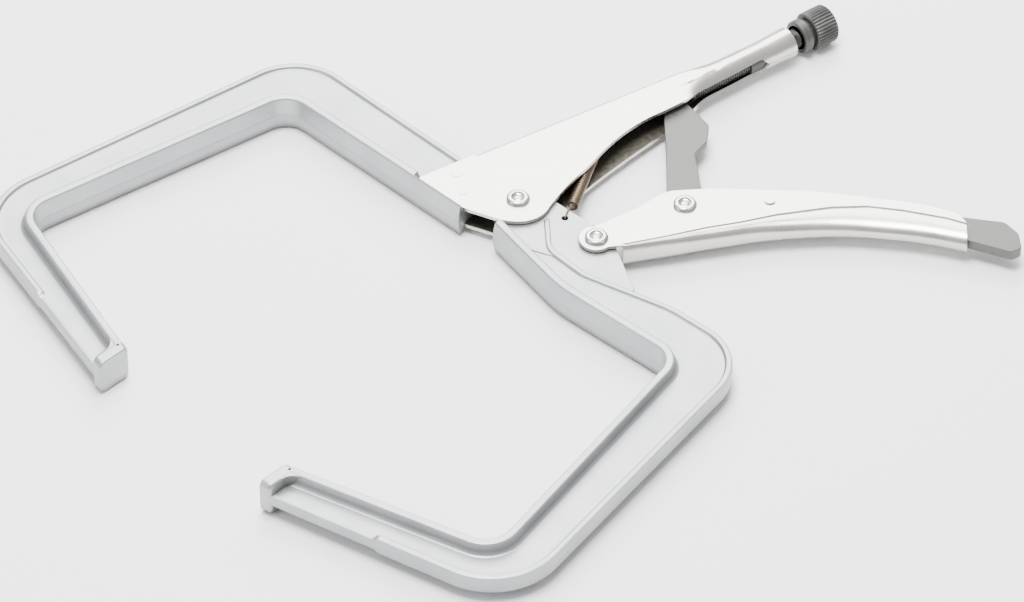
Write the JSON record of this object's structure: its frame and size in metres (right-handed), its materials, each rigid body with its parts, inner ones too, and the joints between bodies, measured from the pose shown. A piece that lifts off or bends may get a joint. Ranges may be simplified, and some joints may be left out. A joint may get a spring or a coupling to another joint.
{
  "type": "locking C clamp",
  "caption": "Locking C clamp with two wide cast arms, channel handles, a toggle link, a release lever and a knurled adjusting screw.",
  "frame": {"origin": "centre of the fixed jaw's grip face", "axes": "+X from the grip faces towards the handles, -Y out of the fixed grip face towards the moving one, +Z through the clamp's thickness, up as it lies on its side"},
  "size_m": [0.4548, 0.3943, 0.021],
  "materials": {
    "cast_aluminium": "cast, bead-blasted",
    "nickel_steel": "satin nickel plate",
    "rivet_steel": "bright, peened",
    "black_steel": "dark phosphate",
    "link_steel": "grey phosphate",
    "bronze": "plain bronze",
    "spring_steel": "oiled wire"
  },
  "bodies": {
    "clamp_frame": {"fixed_jaw": "cast_aluminium", "upper_handle": "nickel_steel", "screw_nut": "black_steel", "main_pivot_rivet": "rivet_steel", "jaw_rivets": "rivet_steel", "pivot_washers": "rivet_steel", "return_spring": "spring_steel", "spring_anchor_pin": "rivet_steel"},
    "jaw_body": {"moving_jaw": "cast_aluminium", "pivot_bush": "bronze", "handle_bush": "bronze"},
    "handle_body": {"lower_handle": "nickel_steel", "handle_rivet": "rivet_steel", "link_rivet": "rivet_steel", "lever_rivet": "rivet_steel", "handle_washers": "rivet_steel", "link_washers": "rivet_steel", "lever_washers": "rivet_steel"},
    "link_body": {"toggle_link": "link_steel", "link_bush": "bronze"},
    "lever_body": {"release_lever": "black_steel"},
    "screw_body": {"adjusting_screw": "black_steel", "knob_end_cap": "black_steel"},
    "knob_body": {"adjusting_knob": "black_steel"}
  },
  "joints": [
    {"name": "jaw_pivot", "type": "hinge", "parent": "clamp_frame", "child": "jaw_body", "pos_m": [0.225, -0.057, 0], "axis": [0, 0, 1], "range_deg": [-22, 0], "deforming": ["return_spring"]},
    {"name": "handle_pivot", "type": "hinge", "parent": "jaw_body", "child": "handle_body", "pos_m": [0.2324, -0.1054, 0], "axis": [0, 0, 1], "range_deg": [0, 46]},
    {"name": "link_pivot", "type": "hinge", "parent": "handle_body", "child": "link_body", "pos_m": [0.28176, -0.11983, 0], "axis": [0, 0, 1], "range_deg": [-42, 0]},
    {"name": "lever_pivot", "type": "hinge", "parent": "handle_body", "child": "lever_body", "pos_m": [0.31442, -0.14825, 0], "axis": [0, 0, 1], "range_deg": [0, 10]},
    {"name": "screw_travel", "type": "slide", "parent": "clamp_frame", "child": "screw_body", "axis": [0.9903, -0.1392, 0], "range_m": [0, 0.015]},
    {"name": "knob_turn", "type": "hinge", "parent": "screw_body", "child": "knob_body", "pos_m": [0.3614, -0.0581, 0], "axis": [0.9903, -0.1392, 0], "range_deg": [0, 3601]}
  ],
  "couplings": [
    {"joint": "handle_pivot", "follows": "jaw_pivot", "ratio": -2.0657},
    {"joint": "link_pivot", "follows": "jaw_pivot", "ratio": 1.8815},
    {"joint": "knob_turn", "follows": "screw_travel", "rad_per_m": 4188.8}
  ]
}
